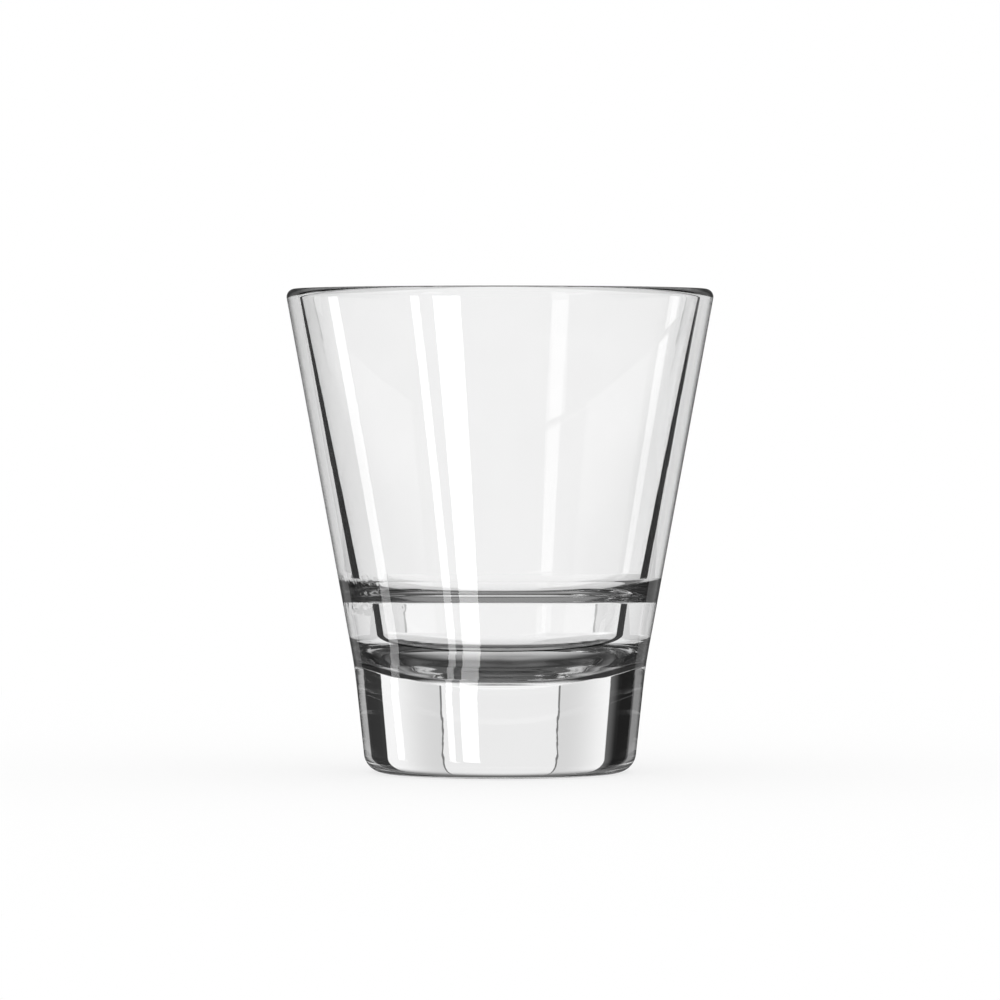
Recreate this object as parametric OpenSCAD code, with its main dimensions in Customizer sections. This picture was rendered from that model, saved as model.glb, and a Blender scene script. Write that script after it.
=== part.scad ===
// Stacking rocks glass, pressed in one piece. Millimetres, +Z up, origin on the table at the axis.

/* [Outside] */
// Height from the table to the top of the lip
height = 97.4; // [85:0.1:115]
// Widest outside diameter, at the lip
rim_d = 86; // [76:0.5:100]
// Angle between the bowl's outer wall and the axis, in degrees
flare = 10.4; // [6:0.1:13]
// Height of the knee, where the flared bowl turns into the steeper foot
knee_z = 21.1; // [16:0.1:26]
// Radius that blends the knee
knee_r = 100; // [10:5:150]
// Angle between the foot's side and the axis, in degrees
foot_taper = 6.1; // [3:0.1:9]
// Radius of the heel, where the foot's side turns under
heel_r = 4; // [2:0.1:6]

/* [Wall and lip] */
// Thickness of the wall at the lip, measured square to it
lip_t = 2.63; // [2:0.01:3.5]
// Thickness of the wall at the foot of the bowl, measured square to it
wall_t = 2.92; // [2:0.01:4]
// Radius of the fire-polished lip on its outer side
lip_r = 1.65; // [0.8:0.05:1.8]

/* [Stacking ledge] */
// Height of the ledge's inner edge, before it is rounded
ledge_z = 35.45; // [32:0.05:42]
// How far the ledge steps in from the bowl's wall, at the height of its inner edge
ledge_w = 3.17; // [2:0.01:6]
// Slope of the ledge down to its inner edge, in degrees
ledge_slope = 28.7; // [0:0.1:40]
// Radius between the bowl's wall and the ledge
seat_r = 5.1; // [1:0.1:6]
// Radius on the ledge's inner edge
ledge_edge_r = 0.8; // [0.3:0.1:1.2]

/* [Lower chamber] */
// Angle between the chamber's wall and the axis, in degrees
chamber_draft = 8.2; // [1:0.1:12]
// Height of the middle of the chamber's floor, which is the thickness of the heavy base
floor_z = 18.2; // [12:0.1:24]
// How far the middle of the floor lies below its edge at the chamber's wall, before that edge is rounded
dome_h = 8.1; // [2:0.1:10]
// Radius between the chamber's wall and its floor
floor_r = 5.5; // [1:0.1:8]

/* [Underside] */
// Width of the flat ring that the glass stands on
ring_w = 3.8; // [2:0.1:8]
// Depth of the shallow dish inside that ring
dish_h = 0.6; // [0.2:0.1:2]

/* [Hidden] */
// Facets of the drawn revolve
$fn = 180;
// Largest turn between two points of an arc, in degrees
arc_step = 3;

// Lip: the inner round takes the part of the wall that the outer round leaves
lip_level_t = lip_t / cos(flare);
lip_out_tan = tan(45 - flare / 2);
lip_in_tan = tan(45 + flare / 2);
lip_out_r = min(lip_r, 0.75 * lip_level_t * lip_out_tan);
lip_in_r = (0.98 * lip_level_t - lip_out_r / lip_out_tan) * lip_in_tan;

// Outside: the flared wall is tangent to the lip's outer round
lip_c = [rim_d / 2 - lip_out_r, height - lip_out_r];
flare_at_lip = lip_c + lip_out_r * [cos(flare), -sin(flare)];
function flare_x(z) = flare_at_lip[0] + (z - flare_at_lip[1]) * tan(flare);
knee_x = flare_x(knee_z);
base_x = knee_x - knee_z * tan(foot_taper);

// Bowl: the inner wall is a line between its places at the ledge and at the lip
bowl_at_ledge = flare_x(ledge_z) - wall_t / cos(flare);
bowl_at_lip = flare_x(height) - lip_level_t;
bowl_rise = (bowl_at_lip - bowl_at_ledge) / (height - ledge_z);

// Ledge: a cone from the chamber's edge up to the bowl's wall
ledge_rise = tan(ledge_slope);
ledge_in = [bowl_at_ledge - ledge_w, ledge_z];
ledge_out_x = (bowl_at_ledge - bowl_rise * ledge_rise * ledge_in[0]) / (1 - bowl_rise * ledge_rise);
ledge_out = [ledge_out_x, ledge_z + (ledge_out_x - ledge_in[0]) * ledge_rise];
ledge_half_turn = (90 - ledge_slope - chamber_draft) / 2;
seat_half_turn = (90 - ledge_slope - atan(bowl_rise)) / 2;
seat_room = norm(ledge_out - ledge_in) - ledge_edge_r * tan(ledge_half_turn);
// The seat's radius, as far as the ledge has room for it
seat_fit_r = min(seat_r, 0.98 * seat_room / tan(seat_half_turn));

// Chamber: a fillet tangent to the drafted wall and to the sphere that the floor is hollowed to
dome_edge_x = ledge_in[0] - (ledge_z - floor_z - dome_h) * tan(chamber_draft);
dome_r = (dome_edge_x * dome_edge_x + dome_h * dome_h) / (2 * dome_h);
dome_c = [0, floor_z + dome_r];
wall_down = [-sin(chamber_draft), -cos(chamber_draft)];
wall_in = [-cos(chamber_draft), sin(chamber_draft)];
fillet_line = ledge_in + floor_r * wall_in;
fillet_along = wall_down * (fillet_line - dome_c);
fillet_reach = (fillet_line - dome_c) * (fillet_line - dome_c) - (dome_r - floor_r) * (dome_r - floor_r);
fillet_c = fillet_line + wall_down * (sqrt(fillet_along * fillet_along - fillet_reach) - fillet_along);
fillet_on_wall = fillet_c - floor_r * wall_in;
dome_angle = atan2(fillet_c[1] - dome_c[1], fillet_c[0]);

// Underside: the ring reaches from the end of the heel's round inwards
heel_x = base_x - heel_r * tan(45 - foot_taper / 2);
ring_x = heel_x - ring_w;
// Radius of the sphere that the dish is cut by, through the ring's inner edge and the dish's top
dish_sphere_r = (ring_x * ring_x + dish_h * dish_h) / (2 * dish_h);

// Points of an arc about c from angle a to angle b
function arc(c, r, a, b) =
    let (n = max(1, ceil(abs(b - a) / arc_step)))
    [for (i = [0:n]) c + r * [cos(a + (b - a) * i / n), sin(a + (b - a) * i / n)]];

// A list of points without its first and last
function between_ends(points) = [for (i = [1:len(points) - 2]) points[i]];

// The corner p between a and b, rounded to radius r
function rounded_corner(a, p, b, r) =
    let (
        to_a = (a - p) / norm(a - p),
        to_b = (b - p) / norm(b - p),
        half = acos(to_a * to_b) / 2,
        c = p + (to_a + to_b) / norm(to_a + to_b) * r / sin(half),
        from = p + to_a * r / tan(half) - c,
        to = p + to_b * r / tan(half) - c,
        start = atan2(from[1], from[0]),
        turn = atan2(to[1], to[0]) - start,
        sweep = turn > 180 ? turn - 360 : turn < -180 ? turn + 360 : turn
    )
    arc(c, r, start, start + sweep);

// An outline from corners [x, z, radius], where a radius of 0 leaves the corner sharp
function rounded(corners) =
    let (last = len(corners) - 1)
    [for (i = [0:last])
        let (
            p = [corners[i][0], corners[i][1]],
            r = corners[i][2]
        )
        each r == 0 || i == 0 || i == last
            ? [p]
            : rounded_corner(
                [corners[i - 1][0], corners[i - 1][1]], p, [corners[i + 1][0], corners[i + 1][1]], r)];

// Half section of the outside, from the axis at the table up to the axis at the lip's height
module outside_section() {
    polygon(rounded([
        [0, 0, 0],
        [base_x, 0, heel_r],
        [knee_x, knee_z, knee_r],
        [flare_x(height), height, lip_out_r],
        [0, height, 0]
    ]));
}

// Half section of the space that the drink fills: domed floor, fillet, chamber, ledge, bowl, lip's inner round
module inside_section() {
    polygon(concat(
        arc(dome_c, dome_r, -90, dome_angle),
        between_ends(arc(fillet_c, floor_r, dome_angle, -chamber_draft)),
        rounded([
            [fillet_on_wall[0], fillet_on_wall[1], 0],
            [ledge_in[0], ledge_in[1], ledge_edge_r],
            [ledge_out[0], ledge_out[1], seat_fit_r],
            [bowl_at_lip, height, lip_in_r],
            [rim_d, height, 0],
            [rim_d, height + lip_r, 0],
            [0, height + lip_r, 0]
        ])
    ));
}

// Half section of the shallow dish in the underside
module dish_section() {
    dish_c = [0, dish_h - dish_sphere_r];
    dish_angle = acos(ring_x / dish_sphere_r);
    polygon(concat([[0, 0]], arc(dish_c, dish_sphere_r, dish_angle, 90)));
}

// The whole glass: a flared bowl, the ledge, the lower chamber and the heavy foot in one piece
module tumbler() {
    color("azure", 0.35)
        rotate_extrude()
            difference() {
                outside_section();
                inside_section();
                dish_section();
            }
}

tumbler();
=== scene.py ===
"""Looks of the rocks glass: the glass as one fine lathed mesh, its clear glass, and a plain white studio."""
import math

import bpy
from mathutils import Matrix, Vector


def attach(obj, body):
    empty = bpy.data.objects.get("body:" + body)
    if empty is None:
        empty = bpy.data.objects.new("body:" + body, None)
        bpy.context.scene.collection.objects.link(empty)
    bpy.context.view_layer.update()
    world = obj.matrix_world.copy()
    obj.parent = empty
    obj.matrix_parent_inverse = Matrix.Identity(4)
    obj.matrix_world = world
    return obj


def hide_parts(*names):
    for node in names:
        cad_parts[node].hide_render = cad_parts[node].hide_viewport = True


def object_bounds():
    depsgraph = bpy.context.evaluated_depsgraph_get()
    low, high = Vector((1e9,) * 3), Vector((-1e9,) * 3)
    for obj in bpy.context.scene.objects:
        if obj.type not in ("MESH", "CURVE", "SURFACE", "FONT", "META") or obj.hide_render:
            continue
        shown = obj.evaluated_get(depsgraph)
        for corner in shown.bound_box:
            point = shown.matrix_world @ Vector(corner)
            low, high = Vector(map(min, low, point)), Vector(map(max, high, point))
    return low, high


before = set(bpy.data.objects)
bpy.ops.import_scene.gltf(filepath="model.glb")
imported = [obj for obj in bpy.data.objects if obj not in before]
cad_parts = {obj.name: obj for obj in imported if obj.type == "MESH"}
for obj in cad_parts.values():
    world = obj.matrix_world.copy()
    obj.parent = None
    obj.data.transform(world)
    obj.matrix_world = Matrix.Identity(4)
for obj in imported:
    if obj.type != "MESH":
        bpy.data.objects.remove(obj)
cad_low, cad_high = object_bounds()

MM = 0.001
DEG = math.pi / 180

# Sizes of the glass, as in the solid
HEIGHT = cad_high.z
RIM_R = cad_high.x
FLARE = 10.4 * DEG
KNEE_Z = 21.1 * MM
KNEE_R = 100 * MM
FOOT_TAPER = 6.1 * DEG
HEEL_R = 4 * MM
LIP_T = 2.63 * MM
WALL_T = 2.92 * MM
LIP_R = 1.65 * MM
LEDGE_Z = 35.45 * MM
LEDGE_SLOPE = 28.7 * DEG
SEAT_R = 5.1 * MM
LEDGE_EDGE_R = 0.8 * MM
LEDGE_W = 3.17 * MM
CHAMBER_DRAFT = 8.2 * DEG
FLOOR_Z = 18.2 * MM
DOME_H = 8.1 * MM
FLOOR_R = 5.5 * MM
RING_W = 3.8 * MM
DISH_H = 0.6 * MM

# Share of the lip's thickness that its two rounds take up
LIP_ROUNDED = 0.98

# Fineness of the mesh, and the points that hold its straight runs
TURNS = 384
ARC_STEP = 2 * DEG
LONG_RUN = 1.5 * MM
HOLD = 0.1 * MM

# Refractive index, and the facing value at which its inner side turns into a mirror
IOR = 1.52
MIRROR = 1 - math.sqrt(1 - 1 / IOR ** 2)

# Camera, measured on the photograph: its distance from the axis, its height over the table and its tilt down, and
# its lens and sensor in its own millimetres
CAMERA_D = 1.2594
CAMERA_H = 0.07715
CAMERA_TILT = 1.015 * DEG
LENS = 224.8
SENSOR = 36.0
VIEW_END = 10.0

# The floor: its radius and sides, how far it lies under the glass, and its shares of lit and of own brightness
FLOOR_SIZE = 0.35
FLOOR_SIDES = 96
FLOOR_DROP = 0.05 * MM
FLOOR_LIT = 0.28
FLOOR_GLOW = 0.72

# Strip lights: how far they stand from the glass, the heights between which the wall mirrors them, and for each its
# left and right edge in the mirror image at the top and at the bottom, and its strength
SOFTBOX_D = 0.4
SOFTBOX_TOP = 99 * MM
SOFTBOX_BOTTOM = 22 * MM
SOFTBOXES = {
    "left_strip": ((-35.3, -33.3), (-21.7, -20.0), 3.2),
    "narrow_strip": ((-18.5, -16.8), (-10.1, -8.6), 5.0),
    "wide_strip": ((-13.9, -8.3), (-7.3, -3.8), 6.0),
}

# Refractions and reflections that a ray may go through: paths in the base are long
BOUNCES = 24

# The studio as rays from the glass see it, in degrees. Elevations at which the panels rise from the table, and at
# which they end in a dim ceiling
TABLE_EDGE = (-2.2, -1.0)
OVERHEAD = (23, 42)
# The seam on each side: how far it turns away at the table and at most, its lean by elevation, its wiggle and its
# half width
SEAM_NEAR = 10.0
SEAM_FAR = 15.3
SEAM_LEAN = 2.03
SEAM_WIGGLE = 3.0
SEAM_HALF_W = 0.3
# Edges of the black flags, and their ends, beyond which it is dim
RIGHT_FLAG = (44.3, 44.9)
LEFT_FLAG = (-39.1, -38.5)
RIGHT_FLAG_END = (63.5, 66)
LEFT_FLAG_END = (-64, -61.5)
# Upright softboxes by their turn from -Y to -X, a little apart for short, longer and the longest paths, and low ones
NEAR_BOXES = ((32, 42.7), (122.5, 134))
SHORT_PATH_BOXES = ((32.8, 41.9), (121.5, 131.5))
LONG_PATH_BOXES = ((32.5, 41.5), (116, 127))
LOW_BOXES = ((60, 108), (-108, -60))
BOX_SOFT = 0.8
LOW_BOX_SOFT = 2.0
BOX_BRIGHT = 1.4


def arc(centre, radius, start, end):
    """Points of an arc in the half section."""
    count = max(1, math.ceil(abs(end - start) / ARC_STEP))
    angles = [start + (end - start) * i / count for i in range(count + 1)]
    return [centre + radius * Vector((math.cos(a), math.sin(a))) for a in angles]


def rounded_corner(before, corner, after, radius):
    """The corner between two straight lines, rounded."""
    to_before = (before - corner).normalized()
    to_after = (after - corner).normalized()
    half = to_before.angle(to_after) / 2
    centre = corner + (to_before + to_after).normalized() * radius / math.sin(half)
    first = corner + to_before * radius / math.tan(half) - centre
    last = corner + to_after * radius / math.tan(half) - centre
    start = math.atan2(first.y, first.x)
    sweep = (math.atan2(last.y, last.x) - start + math.pi) % (2 * math.pi) - math.pi
    return arc(centre, radius, start, start + sweep)


def rounded(corners):
    """An outline from (x, z, radius) corners; the first and the last stay as they are."""
    points = [Vector(corners[0][:2])]
    for before, corner, after in zip(corners, corners[1:], corners[2:]):
        points += rounded_corner(Vector(before[:2]), Vector(corner[:2]), Vector(after[:2]), corner[2])
    return points + [Vector(corners[-1][:2])]


def held_straight(points):
    """The outline with a point close to each end of every long run, so that smooth shading leaves the run flat."""
    held = [points[0]]
    for a, b in zip(points, points[1:]):
        if (b - a).length > LONG_RUN:
            step = (b - a).normalized() * HOLD
            held += [a + step, b - step]
        held.append(b)
    return held


def outside(z):
    """Radius of the flared wall's line at a height."""
    lip_x = RIM_R - LIP_R + LIP_R * math.cos(FLARE)
    lip_z = HEIGHT - LIP_R - LIP_R * math.sin(FLARE)
    return lip_x + (z - lip_z) * math.tan(FLARE)


def half_section():
    """Half section of the glass: the underside and the outside up to the lip, and the inside from the lip down."""
    lip_level_t = LIP_T / math.cos(FLARE)
    lip_out_w = LIP_R / math.tan(math.pi / 4 - FLARE / 2)
    lip_in_r = (LIP_ROUNDED * lip_level_t - lip_out_w) * math.tan(math.pi / 4 + FLARE / 2)

    # Underside, foot and bowl
    base_x = outside(KNEE_Z) - KNEE_Z * math.tan(FOOT_TAPER)
    ring_x = base_x - HEEL_R * math.tan(math.pi / 4 - FOOT_TAPER / 2) - RING_W
    dish_r = (ring_x ** 2 + DISH_H ** 2) / (2 * DISH_H)
    dish = arc(Vector((0, DISH_H - dish_r)), dish_r, math.pi / 2, math.acos(ring_x / dish_r))

    # The ledge's outer corner, where its cone meets the bowl's inner wall
    bowl_ledge = outside(LEDGE_Z) - WALL_T / math.cos(FLARE)
    bowl_lip = outside(HEIGHT) - lip_level_t
    slopes = (bowl_lip - bowl_ledge) / (HEIGHT - LEDGE_Z) * math.tan(LEDGE_SLOPE)
    chamber_r = bowl_ledge - LEDGE_W
    ledge_x = (bowl_ledge - slopes * chamber_r) / (1 - slopes)
    ledge_z = LEDGE_Z + (ledge_x - chamber_r) * math.tan(LEDGE_SLOPE)

    # The chamber's domed floor and the fillet that blends it into the chamber's wall
    down = Vector((-math.sin(CHAMBER_DRAFT), -math.cos(CHAMBER_DRAFT)))
    inwards = Vector((-math.cos(CHAMBER_DRAFT), math.sin(CHAMBER_DRAFT)))
    dome_x = chamber_r - (LEDGE_Z - FLOOR_Z - DOME_H) * math.tan(CHAMBER_DRAFT)
    dome_r = (dome_x ** 2 + DOME_H ** 2) / (2 * DOME_H)
    dome_c = Vector((0, FLOOR_Z + dome_r))
    line = Vector((chamber_r, LEDGE_Z)) + FLOOR_R * inwards
    along = down.dot(line - dome_c)
    reach = (line - dome_c).length_squared - (dome_r - FLOOR_R) ** 2
    fillet_c = line + down * (math.sqrt(along ** 2 - reach) - along)
    on_wall = fillet_c - FLOOR_R * inwards
    dome_angle = math.atan2(fillet_c.y - dome_c.y, fillet_c.x)
    fillet = arc(fillet_c, FLOOR_R, -CHAMBER_DRAFT, dome_angle)
    dome = arc(dome_c, dome_r, dome_angle, -math.pi / 2)

    walls = rounded([
        (ring_x, 0, 0),
        (base_x, 0, HEEL_R),
        (outside(KNEE_Z), KNEE_Z, KNEE_R),
        (outside(HEIGHT), HEIGHT, LIP_R),
        (bowl_lip, HEIGHT, lip_in_r),
        (ledge_x, ledge_z, SEAT_R),
        (chamber_r, LEDGE_Z, LEDGE_EDGE_R),
        (on_wall.x, on_wall.y, 0),
    ])
    lip = walls.index(max(walls, key=lambda p: p.y))
    outer = held_straight(dish[:-1] + walls[:lip + 1])
    inner = held_straight(walls[lip:] + fillet[1:]) + dome[1:]
    return outer + inner[1:], len(outer)


def lathe(name, points, inside):
    """A closed mesh of revolution with a vertex at each pole; faces after the point inside get the second slot."""
    rings = points[1:-1]
    turns = [2 * math.pi * i / TURNS for i in range(TURNS)]
    verts = [(0, 0, points[0].y)]
    verts += [(p.x * math.cos(t), p.x * math.sin(t), p.y) for p in rings for t in turns]
    verts.append((0, 0, points[-1].y))
    last = 1 + (len(rings) - 1) * TURNS
    faces = []
    slots = []
    for i in range(TURNS):
        j = (i + 1) % TURNS
        faces.append((0, 1 + j, 1 + i))
        slots.append(0)
        for k in range(len(rings) - 1):
            a = 1 + k * TURNS
            b = a + TURNS
            faces.append((a + i, a + j, b + j, b + i))
            slots.append(1 if k + 1 >= inside else 0)
        faces.append((last + i, last + j, len(verts) - 1))
        slots.append(1)
    mesh = bpy.data.meshes.new(name)
    mesh.from_pydata(verts, [], faces)
    mesh.polygons.foreach_set("material_index", slots)
    mesh.shade_smooth()
    mesh.update()
    piece = bpy.data.objects.new(name, mesh)
    bpy.context.scene.collection.objects.link(piece)
    return piece


class Nodes:
    """A node tree with short calls that add and link its nodes."""

    def __init__(self, tree):
        self.tree = tree
        tree.nodes.clear()

    def add(self, kind, **settings):
        node = self.tree.nodes.new(kind)
        for key, value in settings.items():
            setattr(node, key, value)
        return node

    def put(self, socket, value):
        if isinstance(value, bpy.types.NodeSocket):
            self.tree.links.new(value, socket)
        else:
            socket.default_value = value

    def calc(self, operation, *values):
        node = self.add("ShaderNodeMath", operation=operation)
        for socket, value in zip(node.inputs, values):
            self.put(socket, value)
        return node.outputs[0]

    def times(self, *values):
        """The product of all values."""
        product = values[0]
        for value in values[1:]:
            product = self.calc("MULTIPLY", product, value)
        return product

    def without(self, value):
        """1 less value."""
        return self.calc("SUBTRACT", 1.0, value)

    def count_is(self, value, count):
        """1 where a whole number has this value."""
        return self.calc("COMPARE", value, count, 0.5)

    def ramp(self, value, low, high, at_low, at_high):
        """A smooth step from at_low to at_high while value goes from low to high."""
        node = self.add("ShaderNodeMapRange", interpolation_type="SMOOTHSTEP")
        for socket, v in zip(node.inputs, (value, low, high, at_low, at_high)):
            self.put(socket, v)
        return node.outputs[0]

    def rise(self, value, low, high):
        return self.ramp(value, low, high, 0.0, 1.0)

    def fall(self, value, low, high):
        return self.ramp(value, low, high, 1.0, 0.0)

    def window(self, value, low, high, soft):
        """1 where value lies between low and high, with edges soft wide."""
        rise = self.rise(value, low - soft / 2, low + soft / 2)
        fall = self.fall(value, high - soft / 2, high + soft / 2)
        return self.times(rise, fall)

    def windows(self, value, soft, spans):
        """The sum of a window for each span."""
        total = self.window(value, *spans[0], soft)
        for span in spans[1:]:
            total = self.calc("ADD", total, self.window(value, *span, soft))
        return total

    def mix(self, share, a, b):
        node = self.add("ShaderNodeMix", data_type="FLOAT")
        for socket, v in zip((node.inputs[0], node.inputs[2], node.inputs[3]), (share, a, b)):
            self.put(socket, v)
        return node.outputs[0]

    def noise(self, place, scale, detail):
        node = self.add("ShaderNodeTexNoise")
        self.put(node.inputs["Vector"], place)
        self.put(node.inputs["Scale"], scale)
        self.put(node.inputs["Detail"], detail)
        return node.outputs[0]

    def split(self, vector):
        node = self.add("ShaderNodeSeparateXYZ")
        self.put(node.inputs[0], vector)
        return node.outputs

    def turned_from(self, *normal):
        """1 less the cosine between the ray and the surface's normal, or the normal given."""
        node = self.add("ShaderNodeLayerWeight")
        self.put(node.inputs["Blend"], 0.5)
        if normal:
            fixed = self.add("ShaderNodeCombineXYZ")
            for socket, v in zip(fixed.inputs, normal):
                self.put(socket, v)
            self.put(node.inputs["Normal"], fixed.outputs[0])
        return node.outputs["Facing"]


def new_material(name):
    """A material, its nodes and its output socket."""
    material = bpy.data.materials.new(name)
    material.use_nodes = True
    n = Nodes(material.node_tree)
    return material, n, n.add("ShaderNodeOutputMaterial").inputs["Surface"]


def painted_edge_lines(n, height, facing, behind):
    """Painted shade: the inner walls, seen through the glass, painted dark just before they turn into a mirror, and
    how much that dulls them there."""
    starts = n.calc("MULTIPLY_ADD", height, 0.333, 0.2077)
    lines = n.rise(facing, starts, n.calc("ADD", starts, 0.002))
    mirror = n.calc("GREATER_THAN", facing, MIRROR)
    chamber_wall = n.window(height, 23.5 * MM, 35.1 * MM, 0.4 * MM)
    bowl_wall = n.rise(height, 39.5 * MM, 39.9 * MM)
    # Rays that come steeply from above are left out
    level = n.rise(n.turned_from(0.0, 0.0, 1.0), 0.6, 0.8)
    walls = n.times(n.calc("ADD", chamber_wall, bowl_wall), level)
    lines = n.times(lines, n.times(behind, walls))
    return lines, n.times(lines, n.mix(mirror, 0.97, 0.04))


def painted_floor_rim_shade(n, height, facing, behind):
    """Painted shade where the chamber floor's rim is seen from below at a low angle: dark there, and mirroring
    little.
    """
    low = n.times(n.window(facing, 0.74, 0.92, 0.06), 0.97)
    rim = (n.rise(height, 18.9 * MM, 20.2 * MM), n.fall(height, 23.5 * MM, 24.5 * MM))
    return n.times(low, *rim, behind)


def ripples(n, place, x, height):
    """Rings that the plunger leaves in the chamber's floor, and folds in the ledge on one side."""
    rings = n.add("ShaderNodeTexWave", wave_type="RINGS", rings_direction="Z")
    n.put(rings.inputs["Vector"], place)
    n.put(rings.inputs["Scale"], 110.0)
    n.put(rings.inputs["Distortion"], 2.5)
    n.put(rings.inputs["Detail Scale"], 0.6)
    ripple = n.times(rings.outputs["Fac"], n.ramp(height, 24 * MM, 28 * MM, 2.0, 0.0))
    folded = n.times(n.window(height, 33.5 * MM, 40 * MM, 2 * MM), n.fall(x, -24 * MM, -20 * MM))
    folds = n.times(folded, n.times(n.noise(place, 600.0, 1.0), 5.0))
    return n.calc("ADD", ripple, folds)


def clear_glass(name, inner):
    """Clear glass for the outer or the inner side, with faint waves, polish and tint, and wear where it stands; the
    inner side also has painted shade: dark lines along its walls and a dark rim on the chamber floor.
    """
    material, n, surface = new_material(name)
    glass = n.add("ShaderNodeBsdfPrincipled")
    place = n.add("ShaderNodeTexCoord").outputs["Object"]
    x, y, height = n.split(place)
    cords = n.noise(place, 90.0, 2.0)
    polish = n.ramp(n.noise(place, 400.0, 3.0), 0.62, 0.75, 0.0, 0.03)
    tint_and_painted_shade = n.ramp(cords, 0.3, 0.7, 0.99, 1.0)
    waves = n.times(cords, 0.2)
    clear = 1.0
    if inner:
        facing = n.turned_from()
        behind = n.add("ShaderNodeNewGeometry").outputs["Backfacing"]
        # Painted shade by the ray's angle: dark lines along the inner walls and a dark rim on the chamber floor
        lines, painted_line_dark = painted_edge_lines(n, height, facing, behind)
        low = painted_floor_rim_shade(n, height, facing, behind)
        clear = n.without(n.calc("MAXIMUM", painted_line_dark, low))
        tint_and_painted_shade = n.times(tint_and_painted_shade, n.without(n.calc("MAXIMUM", lines, low)))
        # The painted dark rim also mirrors less
        n.put(glass.inputs["Specular IOR Level"], n.ramp(low, 0.0, 0.5, 0.5, 0.0))
        waves = n.calc("ADD", waves, ripples(n, place, x, height))
    else:
        polish = n.calc("ADD", polish, n.ramp(height, 0.05 * MM, 0.3 * MM, 0.12, 0.0))
    bump = n.add("ShaderNodeBump")
    n.put(bump.inputs["Strength"], 1.0)
    n.put(bump.inputs["Distance"], 0.02 * MM)
    n.put(bump.inputs["Height"], waves)
    n.put(glass.inputs["Normal"], bump.outputs[0])
    n.put(glass.inputs["Base Color"], tint_and_painted_shade)
    n.put(glass.inputs["Roughness"], polish)
    n.put(glass.inputs["Transmission Weight"], clear)
    n.put(glass.inputs["IOR"], IOR)
    n.put(surface, glass.outputs[0])
    return material


def white_panels(n, z, elevation, side):
    """White panels behind and before the glass with a wavy seam on each side, over a white table."""
    away = n.calc("ABSOLUTE", side)
    wiggle = n.add("ShaderNodeTexNoise", noise_dimensions="1D")
    n.put(wiggle.inputs["W"], n.calc("MINIMUM", z, 0.068))
    n.put(wiggle.inputs["Scale"], 160.0)
    n.put(wiggle.inputs["Detail"], 4.0)
    lean = n.calc("MAXIMUM", n.calc("MULTIPLY_ADD", elevation, SEAM_LEAN, SEAM_NEAR), SEAM_NEAR)
    seam_at = n.calc("MULTIPLY_ADD", wiggle.outputs[0], SEAM_WIGGLE, n.calc("MINIMUM", lean, SEAM_FAR))
    seam = n.calc("LESS_THAN", n.calc("ABSOLUTE", n.calc("SUBTRACT", away, seam_at)), SEAM_HALF_W)

    # The table is a little brighter on both sides, more so on the right
    bright = n.calc("MULTIPLY_ADD", n.window(away, 11, 28, 6), n.ramp(side, -10, 10, 0.06, 0.19), 1.0)
    table = n.times(n.ramp(away, 1.5, 4, 1.0, 0.94), bright)
    middle = n.mix(n.rise(elevation, 0, 3), n.ramp(away, 2, 9, 1.0, 1.03), 0.9)
    outer = n.ramp(away, 17.6, 42, n.ramp(elevation, 0, 4, 0.83, 0.72), 1.05)
    panels = n.mix(n.calc("GREATER_THAN", away, seam_at), middle, outer)
    panels = n.mix(seam, panels, n.ramp(elevation, 0.5, 3, 0.5, 0.2))
    return n.mix(n.rise(elevation, *TABLE_EDGE), table, panels)


def flagged(n, panels, y, elevation, side, through, surfaces):
    """The panels with black flags beyond them, hung over the table, and a dim rest."""
    # Rays that the underside turns up see no flags, so that the foot stays clear from the other sides
    turned_up = n.times(n.count_is(surfaces, 3), n.rise(elevation, 11, 14))
    hung = n.calc("MAXIMUM", n.rise(elevation, -3, 0), n.without(through))
    hung = n.times(hung, n.without(turned_up))
    panels = n.mix(n.times(n.rise(side, *RIGHT_FLAG), hung), panels, 0.04)
    panels = n.mix(n.times(n.fall(side, *LEFT_FLAG), hung), panels, n.ramp(side, -46, -39, 0.012, 0.13))
    rest = n.mix(n.calc("GREATER_THAN", side, 0.0), 0.28, 0.55)
    rest = n.mix(n.calc("GREATER_THAN", surfaces, 2.5), rest, 0.08)
    beyond = n.calc("ADD", n.rise(side, *RIGHT_FLAG_END), n.fall(side, *LEFT_FLAG_END))
    beyond = n.times(beyond, n.calc("SUBTRACT", n.rise(elevation, -11, -8), turned_up))
    panels = n.mix(beyond, panels, rest)
    panels = n.mix(n.rise(elevation, *OVERHEAD), panels, 0.16)
    # Rays that the glass sends back to the front and up after a few surfaces
    sent_back = n.times(n.calc("LESS_THAN", y, 0.0), n.calc("LESS_THAN", surfaces, 3.5))
    return n.mix(n.times(sent_back, n.rise(elevation, 12, 16)), panels, 0.03)


def long_path_view(n, elevation, turned, upright, surfaces):
    """What long paths in the glass see: near darkness with the upright softboxes, and the low ones."""
    lean = n.ramp(turned, 80, 90, 1.75, 0.0)
    leaning = n.calc("MULTIPLY_ADD", n.calc("SUBTRACT", elevation, 19.5), lean, turned)
    shorter = n.times(n.windows(leaning, BOX_SOFT, SHORT_PATH_BOXES), upright)
    longer = n.times(n.windows(turned, BOX_SOFT, LONG_PATH_BOXES), upright)
    low = n.times(n.windows(turned, LOW_BOX_SOFT, LOW_BOXES), n.ramp(elevation, 30, 37, 0.75, 0.0))
    longer = n.calc("ADD", longer, n.times(low, n.calc("LESS_THAN", surfaces, 7.5)))
    boxes = n.mix(n.calc("GREATER_THAN", surfaces, 5.5), shorter, longer)
    return n.calc("ADD", n.ramp(elevation, 25, 40, 0.03, 0.1), boxes)


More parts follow.
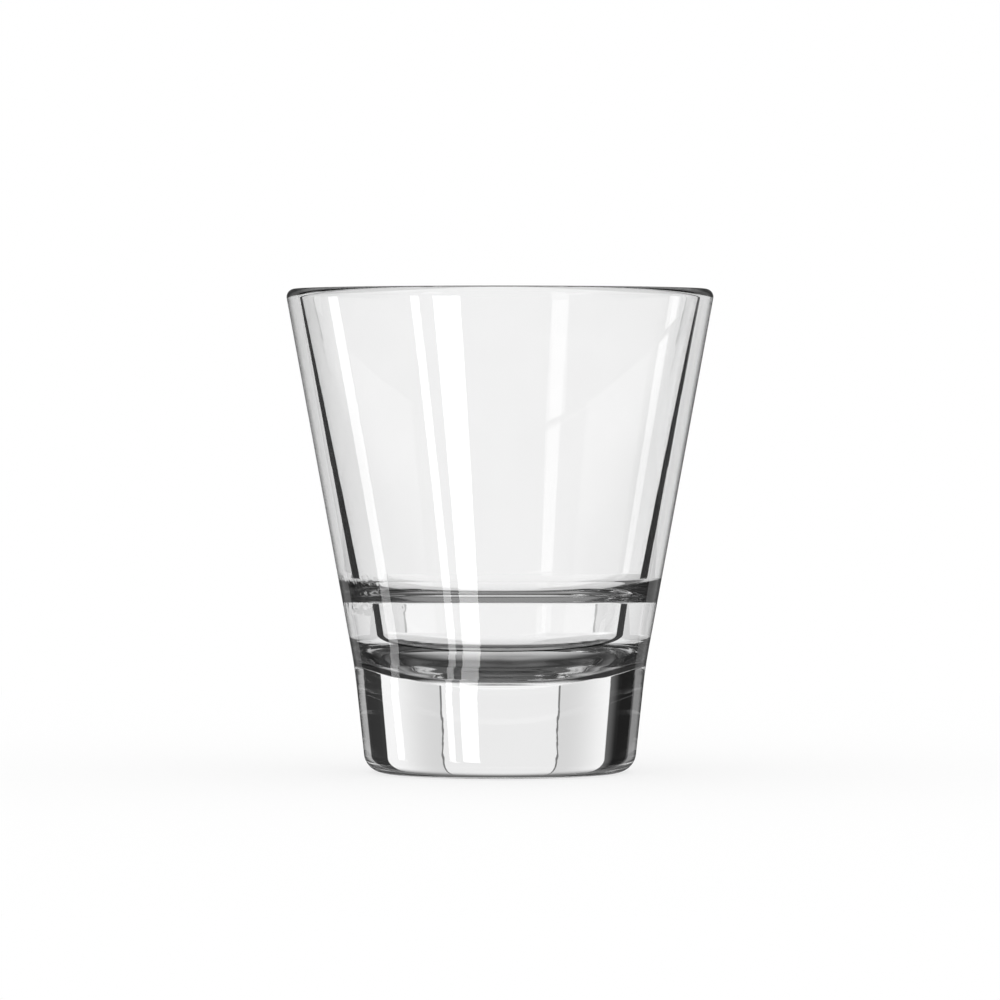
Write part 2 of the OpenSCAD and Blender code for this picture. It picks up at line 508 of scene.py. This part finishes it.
def mirrored_room(n, panels, elevation, turned):
    """What the surface mirrors besides softboxes: a dim room before the glass, the panels behind it, less so straight
    behind, and above them a bright ceiling for the lip's corners."""
    about = n.calc("ABSOLUTE", turned)
    rear = n.times(panels, n.ramp(about, 150, 164, 0.4, 0.1))
    room = n.mix(n.rise(about, 108, 114), 0.12, rear)
    ceiling = n.times(n.rise(about, 138, 148), n.rise(elevation, 14, 30))
    return n.mix(ceiling, room, 0.9)


def studio_world():
    """Plain white to the camera and to light, and a studio to rays that come from the glass."""
    world = bpy.data.worlds.new("studio")
    world.use_nodes = True
    bpy.context.scene.world = world
    n = Nodes(world.node_tree)
    out = n.add("ShaderNodeOutputWorld")
    background = n.add("ShaderNodeBackground")
    n.put(out.inputs["Surface"], background.outputs[0])
    path = n.add("ShaderNodeLightPath").outputs
    through = path["Is Transmission Ray"]
    surfaces = n.calc("SUBTRACT", path["Ray Depth"], 1.0)
    x, y, z = n.split(n.add("ShaderNodeTexCoord").outputs["Generated"])
    elevation = n.calc("DEGREES", n.calc("ARCSINE", z))
    # Turn from the nearer of +Y and -Y, the same for opposite directions, and turn from -Y to -X
    side = n.calc("DEGREES", n.calc("ARCTAN2", n.times(x, n.calc("SIGN", y)), n.calc("ABSOLUTE", y)))
    turned = n.calc("DEGREES", n.calc("ARCTAN2", n.times(x, -1.0), n.times(y, -1.0)))

    panels = flagged(n, white_panels(n, z, elevation, side), y, elevation, side, through, surfaces)
    upright = n.times(n.window(elevation, 5, 28, 4), BOX_BRIGHT)
    long_path = long_path_view(n, elevation, turned, upright, surfaces)
    seen_through = n.mix(n.calc("GREATER_THAN", surfaces, 4.5), panels, long_path)
    near_boxes = n.times(n.windows(turned, BOX_SOFT, NEAR_BOXES), upright)
    reflected = n.calc("ADD", near_boxes, mirrored_room(n, panels, elevation, turned))
    glass_view = n.mix(through, reflected, seen_through)
    n.put(background.inputs["Color"], (1, 1, 1, 1))
    n.put(background.inputs["Strength"], n.mix(path["Is Glossy Ray"], 1.0, glass_view))


def mirrored(x, z):
    """The camera's ray towards a place in the upright plane through the axis: where it meets the flared wall, and
    where the wall sends it."""
    eye = Vector((0, -CAMERA_D, CAMERA_H))
    look = (Vector((x, 0, z)) - eye).normalized()
    flat = Vector((look.x, look.y))
    at = Vector((x, 0, z))
    for _ in range(8):
        radius = outside(at.z)
        nearest = -flat.dot(eye.xy) / flat.length_squared
        gap = (eye.xy + nearest * flat).length_squared
        at = eye + (nearest - math.sqrt((radius ** 2 - gap) / flat.length_squared)) * look
    around = at.xy.normalized()
    normal = Vector((around.x * math.cos(FLARE), around.y * math.cos(FLARE), -math.sin(FLARE)))
    return at, look.reflect(normal)


def softbox(name, top, bottom, strength):
    """A strip light, placed so that the wall mirrors it between the edges top and bottom, each (left, right)."""
    places = [(x, SOFTBOX_TOP) for x in top] + [(x, SOFTBOX_BOTTOM) for x in reversed(bottom)]
    corners = []
    for x, z in places:
        at, way = mirrored(x * MM, z)
        corners.append(at + SOFTBOX_D * way)
    mesh = bpy.data.meshes.new(name)
    mesh.from_pydata(corners, [], [(0, 1, 2, 3)])
    piece = bpy.data.objects.new(name, mesh)
    bpy.context.scene.collection.objects.link(piece)
    piece.visible_camera = False
    piece.visible_diffuse = False
    piece.visible_transmission = False
    piece.visible_shadow = False
    material, n, surface = new_material(name)
    glow = n.add("ShaderNodeEmission")
    n.put(glow.inputs["Strength"], strength)
    n.put(surface, glow.outputs[0])
    mesh.materials.append(material)


def painted_floor_shade(n, surfaces):
    """Painted shadow on the floor for rays from the glass: how bright they find it, by place and by the surfaces they
    have passed.
    """
    x, y, z = n.split(n.add("ShaderNodeTexCoord").outputs["Object"])
    reach = n.calc("SQRT", n.calc("ADD", n.times(x, x), n.times(y, y)))
    # Painted shadow: dark under the glass except at the front, with a painted ring of shade for paths of four
    # surfaces and none for five
    front = n.ramp(n.calc("MULTIPLY_ADD", n.calc("ABSOLUTE", x), -0.3, y), -25 * MM, 0.0, 0.8, 0.0)
    around = n.calc("MAXIMUM", front, n.ramp(reach, 25 * MM, 38 * MM, 0.05, 1.0))
    painted_shadow_ring = n.calc("MAXIMUM", n.ramp(reach, 18 * MM, 21 * MM, 0.55, 0.2), n.rise(reach, 26 * MM, 37 * MM))
    around = n.mix(n.count_is(surfaces, 4), around, painted_shadow_ring)
    around = n.mix(n.count_is(surfaces, 5), around, 1.0)
    # A little painted shade behind the glass, to both sides
    slant = n.calc("DIVIDE", n.calc("ABSOLUTE", x), n.calc("MAXIMUM", y, 1 * MM))
    painted_side_shade = n.times(n.rise(slant, 0.17, 0.23), n.ramp(y, 30 * MM, 45 * MM, 0.0, 0.22))
    around = n.times(around, n.without(painted_side_shade))
    # Painted shade: a dim ground close before the glass, and next to nothing for long paths
    before = n.times(n.rise(reach, 28 * MM, 36 * MM), n.fall(y, -16 * MM, -6 * MM), n.fall(reach, 50 * MM, 70 * MM))
    shown = n.times(n.ramp(surfaces, 4, 5.7, 1.0, 0.03), n.mix(before, 1.0, 0.2))
    # Plain where only one wall or the base lies between
    return n.mix(n.calc("LESS_THAN", surfaces, 2.5), n.times(shown, around), 1.0)


def floor():
    """A plain white floor that takes the glass's shadow, with painted shadow added only for rays from the glass."""
    mesh = bpy.data.meshes.new("floor")
    turns = [2 * math.pi * i / FLOOR_SIDES for i in range(FLOOR_SIDES)]
    edge = [(FLOOR_SIZE * math.cos(t), FLOOR_SIZE * math.sin(t), 0) for t in turns]
    mesh.from_pydata(edge, [], [tuple(range(FLOOR_SIDES))])
    piece = bpy.data.objects.new("floor", mesh)
    bpy.context.scene.collection.objects.link(piece)
    piece.visible_glossy = False
    piece.location.z = -FLOOR_DROP
    material, n, surface = new_material("white_floor")
    path = n.add("ShaderNodeLightPath").outputs
    # White to the camera; painted shadow under and around the glass for rays from the glass
    white = n.mix(path["Is Camera Ray"], painted_floor_shade(n, path["Ray Depth"]), 1.0)
    diffuse = n.add("ShaderNodeBsdfDiffuse")
    n.put(diffuse.inputs["Color"], n.times(white, FLOOR_LIT))
    glow = n.add("ShaderNodeEmission")
    n.put(glow.inputs["Color"], (1, 1, 1, 1))
    n.put(glow.inputs["Strength"], n.times(white, FLOOR_GLOW))
    both = n.add("ShaderNodeAddShader")
    n.put(both.inputs[0], diffuse.outputs[0])
    n.put(both.inputs[1], glow.outputs[0])
    n.put(surface, both.outputs[0])
    mesh.materials.append(material)


def camera():
    data = bpy.data.cameras.new("camera")
    data.lens = LENS
    data.sensor_width = SENSOR
    data.clip_end = VIEW_END
    piece = bpy.data.objects.new("camera", data)
    bpy.context.scene.collection.objects.link(piece)
    piece.location = (0, -CAMERA_D, CAMERA_H)
    piece.rotation_euler = (math.pi / 2 - CAMERA_TILT, 0, 0)
    bpy.context.scene.camera = piece


bpy.context.scene.view_settings.view_transform = "Standard"
paths = bpy.context.scene.cycles
paths.max_bounces = BOUNCES
paths.glossy_bounces = BOUNCES
paths.transmission_bounces = BOUNCES
camera()
studio_world()
floor()
for strip, (top, bottom, strength) in SOFTBOXES.items():
    softbox(strip, top, bottom, strength)
glass = lathe("glass", *half_section())
glass.data.materials.append(clear_glass("clear_glass", inner=False))
glass.data.materials.append(clear_glass("clear_glass_inside", inner=True))
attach(glass, "root")
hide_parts("tumbler")
